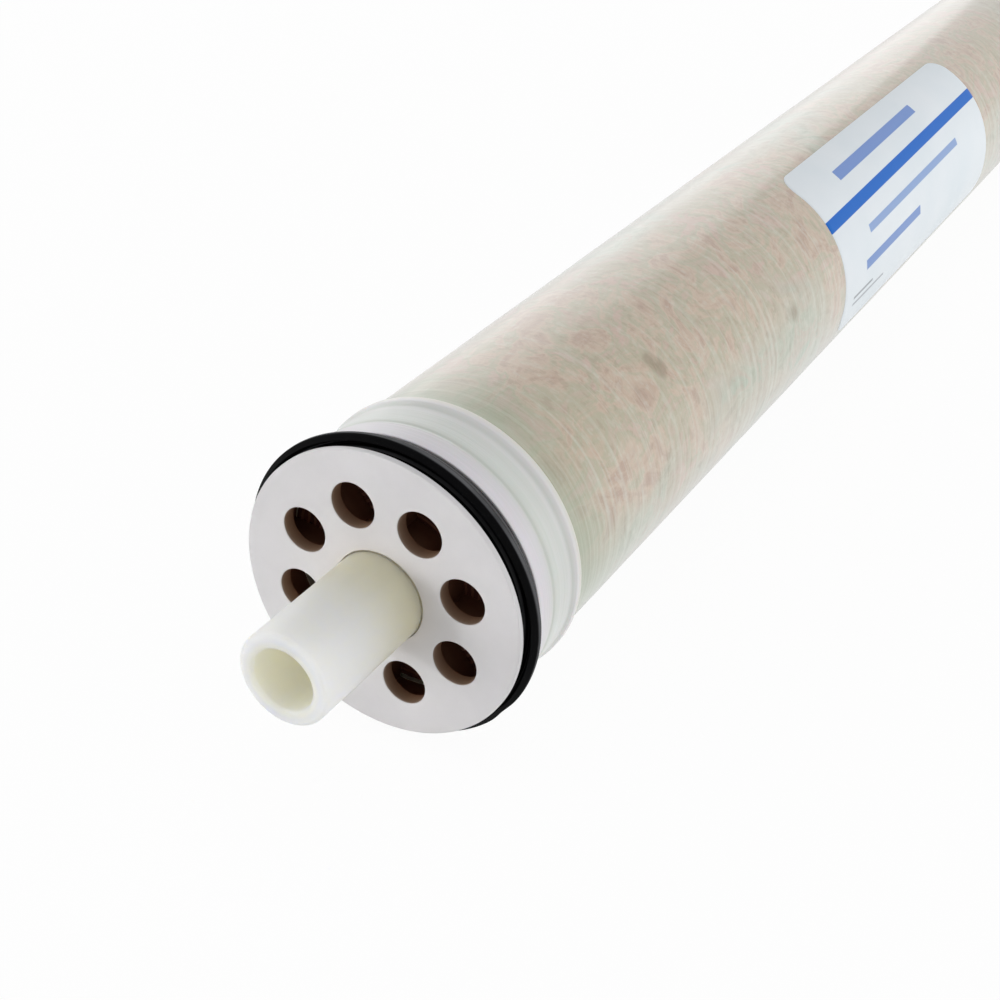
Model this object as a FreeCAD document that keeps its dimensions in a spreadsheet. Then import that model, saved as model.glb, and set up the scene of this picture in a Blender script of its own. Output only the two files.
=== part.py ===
"""Spiral-wound reverse osmosis element, 2.5 inch by 21 inch, as a parametric assembly.

The element's axis is Y and its feed end faces -Y.  The origin is midway between the two
tips of the permeate tube.  Every piece is modelled from its own feed side towards +Y and
is then placed along the axis.  All sizes are in millimetres and degrees.
"""

import FreeCAD, Part
import math
import os
import re

import Sketcher

SIZES = [
    # the whole element
    ("overall_length", 533.0, "tip to tip of the permeate tube"),
    ("tube_projection", 30.2, "tube length outside each cap face"),
    ("fit_clearance", 0.05, "radial gap between pieces that are slid or wound together"),
    # permeate tube
    ("tube_end_diameter", 19.05, "turned ends that the water seals slide over"),
    ("tube_shoulder", 0.175, "height of the unturned tube over its ends"),
    ("tube_bore", 12.7, "inside of the tube"),
    ("tip_chamfer", 0.8, "lead-in on the tip's outer edge"),
    ("bore_chamfer", 0.5, "chamfer on the tip's inner edge"),
    ("drilling_diameter", 1.8, "holes that let the product water into the tube"),
    ("drilling_pitch", 110.0, "spacing of the drillings along the tube"),
    ("drilling_count", 4, "drillings, each right through the tube"),
    # end caps
    ("rim_thickness", 1.3, "rim in front of the seal groove"),
    ("rim_step", 0.7, "height of the rim over the band"),
    ("plate_thickness", 3.0, "front plate with the flow holes"),
    ("flow_hole_diameter", 9.5, "flow holes"),
    ("flow_hole_circle", 38.0, "pitch circle of the flow holes"),
    ("flow_hole_count", 8, "flow holes"),
    ("flow_hole_phase", 15.0, "angle of the first hole from +X towards +Z"),
    ("hub_wall", 3.1, "hub round the tube"),
    ("rib_thickness", 1.6, "ribs between hub and skirt"),
    ("groove_wall", 0.9, "skirt under the seal groove"),
    ("groove_width", 7.3, "seal groove, measured from the rim"),
    ("leaf_recess", 10.0, "from the cap's face to the end of the leaves"),
    ("band_step", 0.6, "height of the band behind the seal over the shell"),
    ("band_width", 12.7, "band, from the groove to the raised lip"),
    ("lip_step", 0.6, "height of the raised lip over the band"),
    ("lip_width", 3.0, "raised lip, with its slope"),
    ("tail_wall", 1.7, "tail that the shell is wound over"),
    ("tail_length", 9.7, "length of that tail"),
    # brine seal
    ("seal_base_wall", 1.5, "ring that sits on the groove's floor"),
    ("seal_side_gap", 0.2, "gap to each side of the groove"),
    ("seal_web", 2.0, "solid heel behind the cup"),
    ("seal_reach", 1.9, "height of the free lip's crest over the rim"),
    ("seal_mouth_reach", 0.7, "height of the lip's inner edge over the rim"),
    ("seal_mouth_offset", 1.2, "from the back of the rim to the lip's front edge"),
    ("seal_lip_land", 0.9, "slope between the lip's mouth and its crest"),
    ("seal_crest_width", 1.0, "land on the crest"),
    ("seal_heel_step", 0.3, "heel of the lip, under the band"),
    # wound package
    ("membrane_thickness", 0.15, "membrane sheet"),
    ("spacer_thickness", 0.86, "feed spacer net"),
    ("carrier_thickness", 0.28, "permeate carrier cloth"),
    ("layer_gap", 0.03, "gap between an envelope and the feed spacer beside it"),
    ("half_turns", 10, "half turns of each leaf"),
    ("tape_thickness", 0.25, "tape round the wound leaves"),
    # shell and label
    ("shell_wall", 0.85, "glass fibre winding over the caps' tails"),
    ("label_start", 174.0, "label, from the feed cap's face"),
    ("label_length", 130.0, "label along the axis"),
    ("label_thickness", 0.12, "label film"),
    ("label_gap", 0.05, "adhesive between film and shell"),
    ("label_top_angle", 75.0, "label's upper edge, from +X towards +Z"),
    ("label_wrap_angle", 97.0, "angle that the label covers"),
    ("label_corner", 6.0, "radius of the label's corners"),
]

doc = FreeCAD.newDocument("RoElement")
sheet = doc.addObject("Spreadsheet::Sheet", "Sizes")
for row, (alias, value, meaning) in enumerate(SIZES, start=1):
    sheet.set("A%d" % row, alias)
    sheet.set("B%d" % row, str(value))
    sheet.set("C%d" % row, meaning)
    sheet.setAlias("B%d" % row, alias)
doc.recompute()


def size(alias):
    """The value of one cell of the sheet, for code that needs the number itself."""
    return float(sheet.get(alias))


def cells(expression):
    """Turn the words of an expression that are aliases into references to the sheet."""
    aliases = {alias for alias, value, meaning in SIZES}
    return re.sub(r"[A-Za-z_.]+", lambda word: "Sizes." * (word[0] in aliases) + word[0], expression)


FACE_STATION = "overall_length / 2 - tube_projection"
FACE_TO_FACE = "(overall_length - 2 * tube_projection)"
HEEL_STATION = "(rim_thickness + groove_width)"
STEP_STATION = "(" + HEEL_STATION + " + band_width)"
BAND_LENGTH = "(" + STEP_STATION + " + lip_width)"
TAIL_END = "(" + BAND_LENGTH + " + tail_length)"
SEAL_BACK = "(" + HEEL_STATION + " - seal_side_gap)"

# An envelope is two membrane faces bonded to the permeate carrier between them.
ENVELOPE_THICKNESS = "(carrier_thickness + 2 * membrane_thickness)"
LEAF_THICKNESS = "(" + ENVELOPE_THICKNESS + " + spacer_thickness + 2 * layer_gap)"

# The radii are stacked from the tube outwards.
TUBE_RADIUS = "(tube_end_diameter / 2 + tube_shoulder)"
CORE_RADIUS = "(" + TUBE_RADIUS + " + fit_clearance)"
HUB_RADIUS = "(" + CORE_RADIUS + " + hub_wall)"
PACKAGE_RADIUS = "(" + CORE_RADIUS + " + " + LEAF_THICKNESS + " * (half_turns + 1))"
TAPE_BORE = "(" + PACKAGE_RADIUS + " + fit_clearance)"
TAPE_RADIUS = "(" + TAPE_BORE + " + tape_thickness)"
SKIRT_BORE = "(" + TAPE_RADIUS + " + fit_clearance)"
GROOVE_RADIUS = "(" + SKIRT_BORE + " + groove_wall)"
TAIL_RADIUS = "(" + SKIRT_BORE + " + tail_wall)"
SHELL_RADIUS = "(" + TAIL_RADIUS + " + fit_clearance + shell_wall)"
BAND_RADIUS = "(" + SHELL_RADIUS + " + band_step)"
LIP_RADIUS = "(" + BAND_RADIUS + " + lip_step)"
RIM_RADIUS = "(" + BAND_RADIUS + " + rim_step)"
SEAL_BORE = "(" + GROOVE_RADIUS + " + fit_clearance)"


# ---------------------------------------------------------------- helpers


def new_body(name):
    body = doc.addObject("PartDesign::Body", name)
    body.Label = name
    return body


def place_at(body, station):
    """Put a body's own feed side at a station that is counted from the feed cap's face."""
    body.setExpression(".Placement.Base.y", cells(station + " - (" + FACE_STATION + ")"))


def origin_part(body, role):
    """One plane or axis of a body's own origin."""
    return next(item for item in body.Origin.OriginFeatures if item.Role == role)


def new_sketch(body, name, role):
    sketch = body.newObject("Sketcher::SketchObject", name)
    sketch.AttachmentSupport = [(origin_part(body, role), "")]
    sketch.MapMode = "FlatFace"
    return sketch


def pin_point(sketch, geometry, point, across, along):
    """Tie a sketch point's two coordinates to expressions; "0" puts it on the axis."""
    for kind, axis, expression in (("DistanceX", -2, across), ("DistanceY", -1, along)):
        if expression == "0":
            sketch.addConstraint(Sketcher.Constraint("PointOnObject", geometry, point, axis))
        else:
            number = sketch.addConstraint(Sketcher.Constraint(kind, -1, 1, geometry, point, 1.0))
            sketch.setExpression("Constraints[%d]" % number, cells(expression))


def closed_outline(sketch, corners):
    """Straight edges through corners, each given as two expressions (radius, station)."""
    count = len(corners)
    angles = [2 * math.pi * number / count for number in range(count)]
    reach = size("overall_length")
    seeds = [FreeCAD.Vector(math.cos(a), math.sin(a), 0) * reach for a in angles]
    for number in range(count):
        sketch.addGeometry(Part.LineSegment(seeds[number], seeds[(number + 1) % count]), False)
    for number in range(count):
        follower = (number + 1) % count
        sketch.addConstraint(Sketcher.Constraint("Coincident", number, 2, follower, 1))
    for number, (across, along) in enumerate(corners):
        pin_point(sketch, number, 1, across, along)


def round_hole(sketch, across, along, diameter):
    """A circle whose centre and diameter are expressions."""
    seed = FreeCAD.Vector(size("tube_bore"), size("tube_bore"), 0)
    circle = Part.Circle(seed, FreeCAD.Vector(0, 0, 1), size("tube_bore"))
    sketch.addGeometry(circle, False)
    pin_point(sketch, 0, 3, across, along)
    number = sketch.addConstraint(Sketcher.Constraint("Diameter", 0, 1.0))
    sketch.setExpression("Constraints[%d]" % number, cells(diameter))


def revolve(body, name, corners):
    """Turn an outline of (radius, station) corners about the element's axis."""
    sketch = new_sketch(body, name + "Outline", "XY_Plane")
    closed_outline(sketch, corners)
    turned = body.newObject("PartDesign::Revolution", name)
    turned.Profile = sketch
    turned.ReferenceAxis = (sketch, ["V_Axis"])
    turned.Angle = 360
    sketch.Visibility = False
    doc.recompute()
    return turned


def rings(feature, diameter, station):
    """Names of the circular edges of one diameter at one station of a turned solid."""
    found = []
    for number, edge in enumerate(feature.Shape.Edges, start=1):
        curve = edge.Curve
        if not isinstance(curve, Part.Circle) or abs(abs(curve.Axis.y) - 1) > 1e-6:
            continue
        centre = curve.Center - feature.Shape.Placement.Base
        if abs(2 * curve.Radius - diameter) < 1e-4 and abs(centre.y - station) < 1e-4:
            found.append("Edge%d" % number)
    if not found:
        raise RuntimeError("%s has no ring of %.3f at %.3f" % (feature.Name, diameter, station))
    return found


def chamfer(body, name, base, edges, alias):
    """Bevel named edges of the body's last feature by one cell's size."""
    feature = body.newObject("PartDesign::Chamfer", name)
    feature.Base = (base, edges)
    feature.setExpression("Size", cells(alias))
    doc.recompute()
    return feature


def check_cut(before, after):
    if after.Shape.Volume >= before.Shape.Volume - 1e-6:
        raise RuntimeError(after.Name + " cut nothing")


# ---------------------------------------------------------------- permeate tube


def make_permeate_tube():
    """Extruded tube with bevelled tips and drillings inside the wound length."""
    body = new_body("permeate_tube")
    tube = revolve(body, "TubeWall", [
        ("tube_bore / 2", "0"),
        ("tube_end_diameter / 2", "0"),
        ("tube_end_diameter / 2", "tube_projection"),
        (TUBE_RADIUS, "tube_projection"),
        (TUBE_RADIUS, "overall_length - tube_projection"),
        ("tube_end_diameter / 2", "overall_length - tube_projection"),
        ("tube_end_diameter / 2", "overall_length"),
        ("tube_bore / 2", "overall_length"),
    ])
    length = size("overall_length")
    outer = rings(tube, size("tube_end_diameter"), 0)
    outer += rings(tube, size("tube_end_diameter"), length)
    tipped = chamfer(body, "TipChamfers", tube, outer, "tip_chamfer")
    inner = rings(tipped, size("tube_bore"), 0) + rings(tipped, size("tube_bore"), length)
    reamed = chamfer(body, "BoreChamfers", tipped, inner, "bore_chamfer")
    row_length = "(drilling_count - 1) * drilling_pitch"
    sketch = new_sketch(body, "Drilling", "XY_Plane")
    round_hole(sketch, "0", "(overall_length - " + row_length + ") / 2", "drilling_diameter")
    drill = body.newObject("PartDesign::Pocket", "DrillingCut")
    drill.Profile = sketch
    drill.Type = "ThroughAll"
    drill.Midplane = True
    doc.recompute()
    check_cut(reamed, drill)
    row = body.newObject("PartDesign::LinearPattern", "DrillingRow")
    row.Originals = [drill]
    row.Direction = (sketch, ["V_Axis"])
    row.setExpression("Length", cells(row_length))
    row.setExpression("Occurrences", cells("drilling_count"))
    body.Tip = row
    doc.recompute()
    check_cut(drill, row)
    sketch.Visibility = False
    place_at(body, "0 - tube_projection")
    return body


# ---------------------------------------------------------------- end caps


def make_end_cap(name):
    """Moulded cap: a perforated plate on hub and ribs, a seal groove, a band and a tail."""
    body = new_body(name)
    turned = revolve(body, "CapTurned", [
        (CORE_RADIUS, "0"),
        (RIM_RADIUS, "0"),
        (RIM_RADIUS, "rim_thickness"),
        (GROOVE_RADIUS, "rim_thickness"),
        (GROOVE_RADIUS, HEEL_STATION),
        (BAND_RADIUS, HEEL_STATION),
        (BAND_RADIUS, STEP_STATION),
        (LIP_RADIUS, STEP_STATION + " + lip_step"),
        (LIP_RADIUS, BAND_LENGTH),
        (TAIL_RADIUS, BAND_LENGTH),
        (TAIL_RADIUS, TAIL_END),
        (SKIRT_BORE, TAIL_END),
        (SKIRT_BORE, "plate_thickness"),
        (HUB_RADIUS, "plate_thickness"),
        (HUB_RADIUS, "leaf_recess"),
        (CORE_RADIUS, "leaf_recess"),
    ])
    pitch = "360 / flow_hole_count"

    hole = new_sketch(body, "FlowHole", "XZ_Plane")
    round_hole(hole, "flow_hole_circle / 2", "0", "flow_hole_diameter")
    hole.setExpression(".AttachmentOffset.Rotation.Angle", cells("flow_hole_phase * 1 deg"))
    cut = body.newObject("PartDesign::Pocket", "FlowHoleCut")
    cut.Profile = hole
    cut.setExpression("Length", cells("plate_thickness"))
    doc.recompute()
    check_cut(turned, cut)
    holes = body.newObject("PartDesign::PolarPattern", "FlowHoles")
    holes.Originals = [cut]
    holes.Axis = (origin_part(body, "Y_Axis"), [""])
    holes.Angle = 360
    holes.setExpression("Occurrences", cells("flow_hole_count"))
    body.Tip = holes
    doc.recompute()
    check_cut(cut, holes)

    rib = new_sketch(body, "RibSection", "XZ_Plane")
    inner = CORE_RADIUS + " + hub_wall / 2"
    outer = SKIRT_BORE + " + groove_wall / 2"
    closed_outline(rib, [
        (inner, "0 - rib_thickness / 2"),
        (outer, "0 - rib_thickness / 2"),
        (outer, "rib_thickness / 2"),
        (inner, "rib_thickness / 2"),
    ])
    rib.setExpression(".AttachmentOffset.Base.z", cells("0 - plate_thickness"))
    turn = "(flow_hole_phase + " + pitch + " / 2) * 1 deg"
    rib.setExpression(".AttachmentOffset.Rotation.Angle", cells(turn))
    pad = body.newObject("PartDesign::Pad", "Rib")
    pad.Profile = rib
    pad.Reversed = True
    pad.setExpression("Length", cells("leaf_recess - plate_thickness"))
    doc.recompute()
    ribs = body.newObject("PartDesign::PolarPattern", "Ribs")
    ribs.Originals = [pad]
    ribs.Axis = (origin_part(body, "Y_Axis"), [""])
    ribs.Angle = 360
    ribs.setExpression("Occurrences", cells("flow_hole_count"))
    body.Tip = ribs
    doc.recompute()
    if ribs.Shape.Volume <= holes.Shape.Volume:
        raise RuntimeError("the ribs added nothing")
    for sketch in (hole, rib):
        sketch.Visibility = False
    return body


def make_caps():
    feed = make_end_cap("feed_end_cap")
    place_at(feed, "0")
    brine = make_end_cap("brine_end_cap")
    half_turn = FreeCAD.Rotation(FreeCAD.Vector(0, 0, 1), 180)
    brine.Placement = FreeCAD.Placement(FreeCAD.Vector(), half_turn)
    place_at(brine, FACE_TO_FACE)
    return [feed, brine]


# ---------------------------------------------------------------- brine seal


def make_brine_seal():
    """Rubber cup ring in the feed cap's groove; its lip opens towards the feed."""
    body = new_body("brine_seal")
    front = "rim_thickness + seal_side_gap"
    ring_radius = SEAL_BORE + " + seal_base_wall"
    mouth = "rim_thickness + seal_mouth_offset"
    crest = mouth + " + seal_lip_land"
    crest_radius = RIM_RADIUS + " + seal_reach"
    revolve(body, "SealTurned", [
        (SEAL_BORE, front),
        (ring_radius, front),
        (ring_radius, SEAL_BACK + " - seal_web"),
        (RIM_RADIUS + " + seal_mouth_reach", mouth),
        (crest_radius, crest),
        (crest_radius, crest + " + seal_crest_width"),
        (BAND_RADIUS + " - seal_heel_step", SEAL_BACK),
        (SEAL_BORE, SEAL_BACK),
    ])
    place_at(body, "0")
    return body


# ---------------------------------------------------------------- shell, tape and label


def make_shell():
    """Glass fibre winding between the caps' lips, over their tails and the tape."""
    body = new_body("glass_fibre_shell")
    over_tail = TAIL_RADIUS + " + fit_clearance"
    over_tape = TAPE_RADIUS + " + fit_clearance"
    step = TAIL_END + " + fit_clearance"
    near = [
        (over_tail, BAND_LENGTH),
        (over_tail, step),
        (over_tape, step + " + tail_wall"),
    ]
    far = [(radius, FACE_TO_FACE + " - (" + station + ")") for radius, station in near]
    outside = [(SHELL_RADIUS, FACE_TO_FACE + " - " + BAND_LENGTH), (SHELL_RADIUS, BAND_LENGTH)]
    revolve(body, "ShellTurned", near + far[::-1] + outside)
    place_at(body, "0")
    return body


def make_tape():
    """Tape that holds the wound leaves before the shell is wound on."""
    body = new_body("leaf_tape_wrap")
    start = "leaf_recess + fit_clearance"
    end = FACE_TO_FACE + " - leaf_recess - fit_clearance"
    revolve(body, "TapeTurned", [
        (TAPE_BORE, start),
        (TAPE_RADIUS, start),
        (TAPE_RADIUS, end),
        (TAPE_BORE, end),
    ])
    place_at(body, "0")
    return body


def make_label():
    """Printed film on the shell, with round corners; its print is left off."""
    inner = doc.addObject("Part::Cylinder", "LabelInside")
    outer = doc.addObject("Part::Cylinder", "LabelOutside")
    inner.setExpression("Radius", cells(SHELL_RADIUS + " + label_gap"))
    outer.setExpression("Radius", cells(SHELL_RADIUS + " + label_gap + label_thickness"))
    outer.setExpression("Angle", cells("label_wrap_angle"))
    for cylinder in (inner, outer):
        cylinder.setExpression("Height", cells("label_length"))
    sector = doc.addObject("Part::Cut", "LabelSector")
    sector.Base = outer
    sector.Tool = inner

    # A block with four round edges trims the sector's corners, seen square to its middle.
    half_angle = "label_wrap_angle / 2 * 1 deg"
    half_chord = "LabelOutside.Radius * sin(" + half_angle + ")"
    block = doc.addObject("Part::Box", "LabelBlock")
    block.setExpression("Length", "2 * LabelOutside.Radius")
    block.setExpression("Width", cells("2 * " + half_chord))
    block.setExpression("Height", cells("label_length"))
    block.setExpression(".Placement.Rotation.Angle", cells(half_angle))
    block.setExpression(".Placement.Base.x", cells(half_chord + " * sin(" + half_angle + ")"))
    block.setExpression(".Placement.Base.y", cells("-1 * " + half_chord + " * cos(" + half_angle + ")"))
    doc.recompute()
    radius = size("label_corner")
    trimmed = doc.addObject("Part::Fillet", "LabelCorners")
    trimmed.Base = block
    trimmed.Edges = [
        (number, radius, radius)
        for number, edge in enumerate(block.Shape.Edges, start=1)
        if abs(edge.Length - block.Length.Value) < 1e-6
    ]
    label = doc.addObject("Part::Common", "label_film")
    label.Label = "label_film"
    label.Base = sector
    label.Tool = trimmed
    upright = FreeCAD.Rotation(FreeCAD.Vector(1, 0, 0), -90)
    around = FreeCAD.Rotation(FreeCAD.Vector(0, 1, 0), -size("label_top_angle"))
    label.Placement = FreeCAD.Placement(FreeCAD.Vector(), around * upright)
    place_at(label, "label_start")
    doc.recompute()
    return label


# ---------------------------------------------------------------- wound leaves


def leaf_thickness():
    envelope = size("carrier_thickness") + 2 * size("membrane_thickness")
    return envelope + size("spacer_thickness") + 2 * size("layer_gap")


def spiral_edges(offset):
    """Half-circle spiral that lies one offset above a leaf's inner face.

    Odd and even half turns have centres one leaf apart, so that neighbouring
    turns of two leaves, wound half a turn apart, lie flat on each other.
    """
    thickness = leaf_thickness()
    core_radius = size("tube_end_diameter") / 2 + size("tube_shoulder") + size("fit_clearance")
    start_radius = core_radius + thickness / 2
    edges = []
    for half_turn in range(int(size("half_turns"))):
        odd = half_turn % 2
        centre = FreeCAD.Vector((odd - 0.5) * thickness, 0, 0)
        radius = start_radius + half_turn * thickness + offset
        circle = Part.Circle(centre, FreeCAD.Vector(0, 0, 1), radius)
        edges.append(Part.ArcOfCircle(circle, odd * math.pi, (odd + 1) * math.pi).toShape())
    return edges


def ends(edges):
    """First and last points of a chain of arcs."""
    return edges[0].Vertexes[0].Point, edges[-1].Vertexes[-1].Point


def bridge(first, second):
    return Part.LineSegment(first, second).toShape()


def layer_face(inner, outer):
    """Face between two spirals, closed by a straight edge at each end."""
    inner_start, inner_end = ends(inner)
    outer_start, outer_end = ends(outer)
    closing = [bridge(inner_end, outer_end), bridge(outer_start, inner_start)]
    return Part.Face(Part.Wire(Part.__sortEdges__(inner + outer + closing)))


def wound_piece(name, face, leaf):
    """Stretch a spiral section between the caps and lay it on the element's axis."""
    length = size("overall_length") - 2 * (size("tube_projection") + size("leaf_recess"))
    length -= 2 * size("fit_clearance")
    solid = face.extrude(FreeCAD.Vector(0, 0, length))
    piece = doc.addObject("Part::Feature", name)
    piece.Label = name
    piece.Shape = solid
    upright = FreeCAD.Rotation(FreeCAD.Vector(1, 0, 0), 90)
    around = FreeCAD.Rotation(FreeCAD.Vector(0, 1, 0), 180.0 * leaf)
    piece.Placement = FreeCAD.Placement(FreeCAD.Vector(0, length / 2, 0), around * upright)
    return piece


def make_leaves():
    """Two leaves, half a turn apart: in each, a membrane envelope and the spacer on it."""
    envelope_top = size("carrier_thickness") + 2 * size("membrane_thickness")
    spacer_floor = envelope_top + size("layer_gap")
    spacer_top = spacer_floor + size("spacer_thickness")
    envelope = layer_face(spiral_edges(0), spiral_edges(envelope_top))
    spacer = layer_face(spiral_edges(spacer_floor), spiral_edges(spacer_top))
    pieces = []
    for leaf in (0, 1):
        pieces.append(wound_piece("membrane_envelope_%d" % (leaf + 1), envelope, leaf))
        pieces.append(wound_piece("feed_spacer_%d" % (leaf + 1), spacer, leaf))
    return pieces


# ---------------------------------------------------------------- build, check and write

pieces = [make_permeate_tube()]
pieces += make_caps()
pieces += [make_brine_seal(), make_shell(), make_tape(), make_label()]
pieces += make_leaves()
doc.recompute()

for item in doc.Objects:
    if "Invalid" in item.State or "Error" in item.State:
        raise RuntimeError("%s did not build" % item.Name)
for piece in pieces:
    if piece.Shape.isNull() or not piece.Shape.isValid() or len(piece.Shape.Solids) != 1:
        raise RuntimeError("%s is not one valid solid" % piece.Label)

os.makedirs("parts", exist_ok=True)
for piece in pieces:
    piece.Shape.exportStep(os.path.join("parts", piece.Label + ".step"))
    box = piece.Shape.BoundBox
    print("%-20s volume %10.1f  y %8.2f to %8.2f" % (piece.Label, piece.Shape.Volume, box.YMin, box.YMax))
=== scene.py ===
"""Looks of the spiral-wound element: softened mouldings, wound shell, film label, studio.

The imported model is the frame.  Lengths are in metres; the profiles of the caps, the tube and
the seal are in millimetres and are turned into metres where they are used.
"""

import math

import bmesh
import bpy
import numpy as np
from mathutils import Matrix, Vector
from mathutils.geometry import delaunay_2d_cdt
from mathutils.noise import noise


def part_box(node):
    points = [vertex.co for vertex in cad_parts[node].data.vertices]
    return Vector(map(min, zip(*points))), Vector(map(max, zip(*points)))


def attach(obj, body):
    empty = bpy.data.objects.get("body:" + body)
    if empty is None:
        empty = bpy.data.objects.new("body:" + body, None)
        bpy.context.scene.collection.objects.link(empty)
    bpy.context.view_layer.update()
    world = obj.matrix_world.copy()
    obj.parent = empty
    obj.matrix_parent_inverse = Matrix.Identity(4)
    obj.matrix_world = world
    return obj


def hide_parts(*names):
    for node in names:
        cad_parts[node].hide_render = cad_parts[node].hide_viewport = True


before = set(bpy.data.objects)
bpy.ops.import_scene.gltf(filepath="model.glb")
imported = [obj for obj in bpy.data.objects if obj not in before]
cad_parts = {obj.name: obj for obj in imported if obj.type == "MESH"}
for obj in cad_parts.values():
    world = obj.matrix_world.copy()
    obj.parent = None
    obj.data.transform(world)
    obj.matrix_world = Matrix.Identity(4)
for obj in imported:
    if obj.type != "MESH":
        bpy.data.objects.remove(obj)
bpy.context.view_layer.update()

MM = 0.001

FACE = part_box("feed_end_cap")[0].y
SHELL_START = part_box("glass_fibre_shell")[0].y
SHELL_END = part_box("glass_fibre_shell")[1].y
SHELL_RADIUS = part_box("glass_fibre_shell")[1].x
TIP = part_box("permeate_tube")[0].y
SEAL_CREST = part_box("brine_seal")[1].x


# ---------------------------------------------------------------- shader helpers


def srgb(red, green, blue):
    """Screen colour 0-255 to the linear value that a socket takes."""
    def linear(value):
        value /= 255.0
        return value / 12.92 if value <= 0.04045 else ((value + 0.055) / 1.055) ** 2.4
    return (linear(red), linear(green), linear(blue), 1.0)


class Shader:
    """One material's node tree, with short calls for the few kinds of node used here."""

    def __init__(self, name):
        self.material = bpy.data.materials.new(name)
        self.material.use_nodes = True
        self.tree = self.material.node_tree
        self.surface = self.tree.nodes["Principled BSDF"]
        self.coords = self.tree.nodes.new("ShaderNodeTexCoord")

    def feed(self, socket, value):
        if isinstance(value, bpy.types.NodeSocket):
            self.tree.links.new(value, socket)
        else:
            socket.default_value = value

    def node(self, kind, values=(), **settings):
        made = self.tree.nodes.new("ShaderNode" + kind)
        for key, value in settings.items():
            setattr(made, key, value)
        for key, value in dict(values).items():
            self.feed(made.inputs[key], value)
        return made

    def finish(self, **values):
        for key, value in values.items():
            self.feed(self.surface.inputs[key.replace("_", " ")], value)
        return self.material

    def place(self, scale=(1, 1, 1), source=None, turn=(0, 0, 0)):
        values = {"Vector": source or self.coords.outputs["Object"], "Scale": scale, "Rotation": turn}
        return self.node("Mapping", values).outputs[0]

    def noise(self, scale, vector=None, detail=3.0, roughness=0.5, distortion=0.0):
        values = {
            "Vector": vector or self.coords.outputs["Object"],
            "Scale": scale,
            "Detail": detail,
            "Roughness": roughness,
            "Distortion": distortion,
        }
        return self.node("TexNoise", values).outputs[0]

    def ramp(self, value, stops):
        """Colour (or grey) ramp from (position, colour) stops."""
        made = self.node("ValToRGB", {"Fac": value})
        elements = made.color_ramp.elements
        while len(elements) < len(stops):
            elements.new(0.5)
        for element, (position, colour) in zip(elements, stops):
            element.position = position
            if isinstance(colour, (int, float)):
                colour = (colour, colour, colour, 1.0)
            element.color = colour
        return made.outputs[0]

    def math(self, operation, first, second=0.0, third=0.0):
        made = self.node("Math", operation=operation)
        for socket, value in zip(made.inputs, (first, second, third)):
            self.feed(socket, value)
        return made.outputs[0]

    def mix(self, factor, first, second, blend="MIX"):
        made = self.node("MixRGB", {"Fac": factor, "Color1": first, "Color2": second}, blend_type=blend)
        return made.outputs[0]

    def step(self, value, low, high):
        """0 below low, 1 above high, smooth between."""
        values = {"Value": value, "From Min": low, "From Max": high}
        made = self.node("MapRange", values, interpolation_type="SMOOTHSTEP")
        return made.outputs[0]

    def split(self, vector):
        return self.node("SeparateXYZ", {"Vector": vector}).outputs

    def bump(self, height, distance, strength=1.0, normal=None):
        values = {"Height": height, "Distance": distance, "Strength": strength}
        if normal is not None:
            values["Normal"] = normal
        return self.node("Bump", values).outputs[0]


# ---------------------------------------------------------------- mesh helpers


def rounded(corners, steps=5):
    """Closed outline through (radius, station, rounding) corners in mm, corners rounded."""
    points = []
    count = len(corners)
    for number, (x, y, rounding) in enumerate(corners):
        here = Vector((x, y))
        before = Vector(corners[number - 1][:2]) - here
        after = Vector(corners[(number + 1) % count][:2]) - here
        if rounding <= 0:
            points.append(here)
            continue
        turn = before.angle(after)
        reach = rounding / math.tan(turn / 2)
        start = here + before.normalized() * reach
        end = here + after.normalized() * reach
        middle = here + (before.normalized() + after.normalized()).normalized() * (
            rounding / math.sin(turn / 2)
        )
        first, last = start - middle, end - middle
        sweep = first.angle_signed(last)
        for step in range(steps + 1):
            angle = -sweep * step / steps
            points.append(middle + Matrix.Rotation(angle, 2) @ first)
    return points


def new_object(name, mesh, body="root", slot=None, replaces=()):
    made = bpy.data.objects.new(name, mesh)
    bpy.context.scene.collection.objects.link(made)
    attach(made, body)
    if replaces:
        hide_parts(*replaces)
    return made


def from_bmesh(name, work, materials, sharp=30.0, **options):
    """Turn a bmesh into a piece with smooth faces, sharp edges and weighted normals."""
    bmesh.ops.remove_doubles(work, verts=work.verts, dist=1e-7)
    bmesh.ops.recalc_face_normals(work, faces=work.faces)
    for face in work.faces:
        face.smooth = True
    mesh = bpy.data.meshes.new(name)
    work.to_mesh(mesh)
    work.free()
    mesh.set_sharp_from_angle(angle=math.radians(sharp))
    for material in materials:
        mesh.materials.append(material)
    made = new_object(name, mesh, **options)
    weighted = made.modifiers.new("Weighted", "WEIGHTED_NORMAL")
    weighted.keep_sharp = True
    return made


def ring(work, radius, station, segments, wobble=None):
    """A ring of vertices about the Y axis; radius and station in metres."""
    made = []
    for number in range(segments):
        angle = 2 * math.pi * number / segments
        r, y = (radius, station) if wobble is None else wobble(radius, station, angle)
        made.append(work.verts.new((r * math.cos(angle), y, r * math.sin(angle))))
    return made


def join_rings(work, first, second, material=0):
    count = len(first)
    for number in range(count):
        after = (number + 1) % count
        face = work.faces.new((first[number], first[after], second[after], second[number]))
        face.material_index = material


def lathe(work, points, segments, closed=True, wobble=None, origin=0.0):
    """Turn (radius, station) points in mm about the Y axis."""
    rings = [ring(work, p[0] * MM, origin + p[1] * MM, segments, wobble) for p in points]
    for number in range(len(rings) - (0 if closed else 1)):
        join_rings(work, rings[number], rings[(number + 1) % len(rings)])
    return rings


# ---------------------------------------------------------------- materials


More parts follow.
